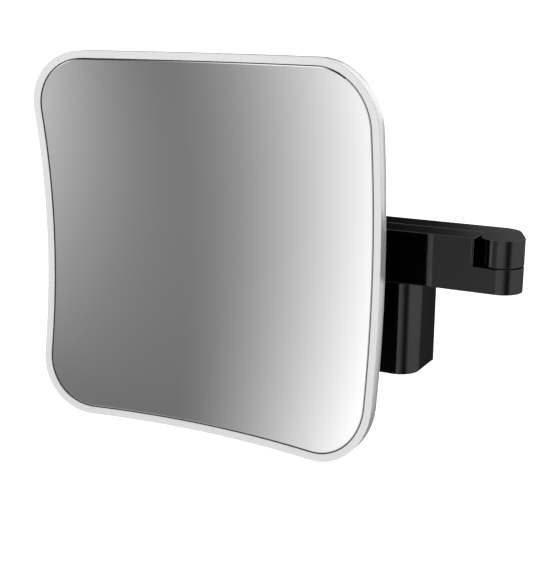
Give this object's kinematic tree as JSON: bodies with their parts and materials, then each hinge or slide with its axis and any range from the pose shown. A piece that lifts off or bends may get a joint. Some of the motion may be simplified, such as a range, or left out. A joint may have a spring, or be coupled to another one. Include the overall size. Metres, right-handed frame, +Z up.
{
  "type": "extendable shaving mirror",
  "caption": "Wall-mounted shaving mirror: a lit, concave square head on a folding two-link arm, with a swivel and a tilt hinge.",
  "frame": {"origin": "centre of the bracket's back face, on the wall plane", "axes": "+Y into the wall, +X to the right along the wall as seen by the user, +Z up"},
  "size_m": [0.2688, 0.0871, 0.21],
  "materials": {
    "black_lacquer": "high-gloss black lacquer on cast metal",
    "shell_black": "semi-gloss black lacquer on pressed steel",
    "black_plastic": "fine-grained black plastic",
    "driver_plastic": "plain white plastic case",
    "terminal_plastic": "translucent-white moulded plastic",
    "bush_plastic": "self-lubricating black plastic",
    "wire_plastic": "grey wire insulation",
    "zinc_steel": "zinc-plated steel",
    "pin_steel": "turned and ground steel",
    "dark_steel": "black-oxide steel",
    "chrome_rim": "polished chrome",
    "frosted_acrylic": "frosted white acrylic diffuser",
    "seal_rubber": "thin black seal",
    "silvered_glass": "silvered concave glass",
    "board_aluminium": "white-coated aluminium circuit board",
    "led_plastic": "yellowish phosphor lens"
  },
  "bodies": {
    "bracket": {"bracket_housing": "black_lacquer", "wall_plate": "zinc_steel", "housing_grub_screws": "dark_steel", "led_driver": "driver_plastic", "terminal_block": "terminal_plastic", "wall_pivot_bush": "bush_plastic", "wall_thrust_washer": "bush_plastic"},
    "rear_arm": {"rear_arm": "black_lacquer", "rear_arm_channel_cover": "black_plastic", "rear_arm_wire": "wire_plastic", "wall_pivot_pin": "pin_steel", "wall_pivot_spring_washer": "pin_steel", "wall_pivot_nut": "zinc_steel", "elbow_pin": "pin_steel", "elbow_spring_washer": "pin_steel", "elbow_nut": "zinc_steel"},
    "front_arm": {"front_arm": "black_lacquer", "front_arm_channel_cover": "black_plastic", "front_arm_wire": "wire_plastic", "elbow_bush": "bush_plastic", "elbow_thrust_washer": "bush_plastic", "elbow_cap": "black_plastic", "swivel_pin": "pin_steel", "swivel_spring_washer": "pin_steel", "swivel_nut": "zinc_steel"},
    "swivel": {"swivel_neck": "black_lacquer", "swivel_bush": "bush_plastic", "swivel_thrust_washer": "bush_plastic", "swivel_cap": "black_plastic"},
    "head": {"tilt_bracket": "black_lacquer", "tilt_bracket_screws": "dark_steel", "tilt_bolt": "dark_steel", "tilt_nut": "dark_steel", "tilt_friction_washers": "bush_plastic", "back_shell": "shell_black", "rim_frame": "chrome_rim", "light_ring": "frosted_acrylic", "mirror_seal": "seal_rubber", "mirror_glass": "silvered_glass", "mirror_backing": "zinc_steel", "led_board": "board_aluminium", "leds": "led_plastic"}
  },
  "joints": [
    {"name": "wall_swing", "type": "hinge", "parent": "bracket", "child": "rear_arm", "pos_m": [0, -0.0116, 0.0413], "axis": [0, 0, 1], "range_deg": [-165, 0]},
    {"name": "elbow_fold", "type": "hinge", "parent": "rear_arm", "child": "front_arm", "pos_m": [0.0804, -0.0276, 0.0413], "axis": [0, 0, 1], "range_deg": [0, 180]},
    {"name": "head_turn", "type": "hinge", "parent": "front_arm", "child": "swivel", "pos_m": [-0.072, -0.03005, 0.0413], "axis": [0, 0, 1], "range_deg": [-95, 5]},
    {"name": "head_tilt", "type": "hinge", "parent": "swivel", "child": "head", "pos_m": [-0.072, -0.0465, 0.0413], "axis": [1, 0, 0], "range_deg": [-20, 20]}
  ]
}
